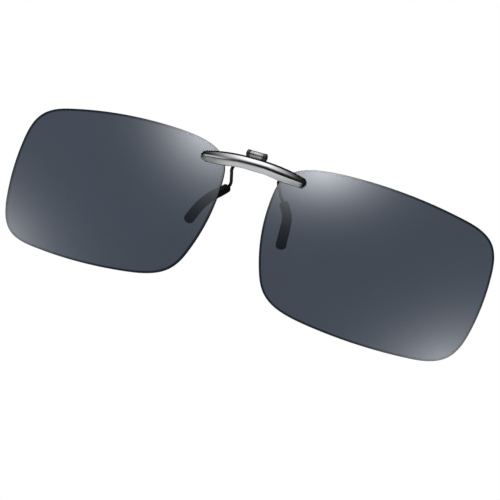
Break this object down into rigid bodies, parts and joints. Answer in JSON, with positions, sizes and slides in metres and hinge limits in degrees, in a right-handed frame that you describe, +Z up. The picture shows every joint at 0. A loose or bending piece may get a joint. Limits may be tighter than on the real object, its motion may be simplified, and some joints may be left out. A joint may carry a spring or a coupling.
{
  "type": "clip-on flip-up sunglass lenses",
  "caption": "Rimless tinted clip-on lenses on a slim arched bridge bar, with a hinge that flips them up and a sprung rubber-tipped jaw that grips the bridge of spectacles.",
  "frame": {"origin": "midway between the rear faces of the two front pads, on the symmetry plane, where the front of the spectacles meets the clip", "axes": "+X to the right seen from the front, across both lenses; +Y back towards the wearer; +Z up"},
  "size_m": [0.1318, 0.0144, 0.0412],
  "materials": {
    "tinted_lens": "gloss",
    "gunmetal": "polished",
    "bright_steel": "gloss",
    "black_metal": "satin",
    "black_wire": "gloss",
    "black_rubber": "matte",
    "clear_nylon": "satin",
    "spring_steel": "satin"
  },
  "bodies": {
    "clip_base": {"clip_bracket": "black_metal", "flip_pin": "black_metal", "jaw_pin": "black_metal", "flip_washer_left": "spring_steel", "flip_washer_right": "spring_steel", "front_pad_left": "black_rubber", "front_pad_right": "black_rubber", "torsion_spring": "spring_steel"},
    "lens_assembly": {"lens_left": "tinted_lens", "lens_right": "tinted_lens", "bridge_bar": "gunmetal", "hinge_leaf": "bright_steel", "leaf_screw": "bright_steel", "retaining_plate_left": "black_metal", "retaining_plate_right": "black_metal", "lens_bush_left_inner": "clear_nylon", "lens_screw_left_inner": "bright_steel", "lens_bush_left_outer": "clear_nylon", "lens_screw_left_outer": "bright_steel", "lens_bush_right_inner": "clear_nylon", "lens_screw_right_inner": "bright_steel", "lens_bush_right_outer": "clear_nylon", "lens_screw_right_outer": "bright_steel"},
    "rear_jaw": {"jaw_lever": "black_metal", "leg_wire_left": "black_wire", "leg_wire_right": "black_wire", "leg_sleeve_left": "black_rubber", "leg_sleeve_right": "black_rubber"}
  },
  "joints": [
    {"name": "lens_flip", "type": "hinge", "parent": "clip_base", "child": "lens_assembly", "pos_m": [0, -0.00235, 0.00285], "axis": [-1, 0, 0], "range_deg": [0, 90]},
    {"name": "jaw_open", "type": "hinge", "parent": "clip_base", "child": "rear_jaw", "pos_m": [0, 0.00245, 0.00155], "axis": [1, 0, 0], "range_deg": [0, 30], "stiffness_Nm_per_rad": 0.012, "springref_deg": -28.65, "deforming": ["torsion_spring"]}
  ]
}
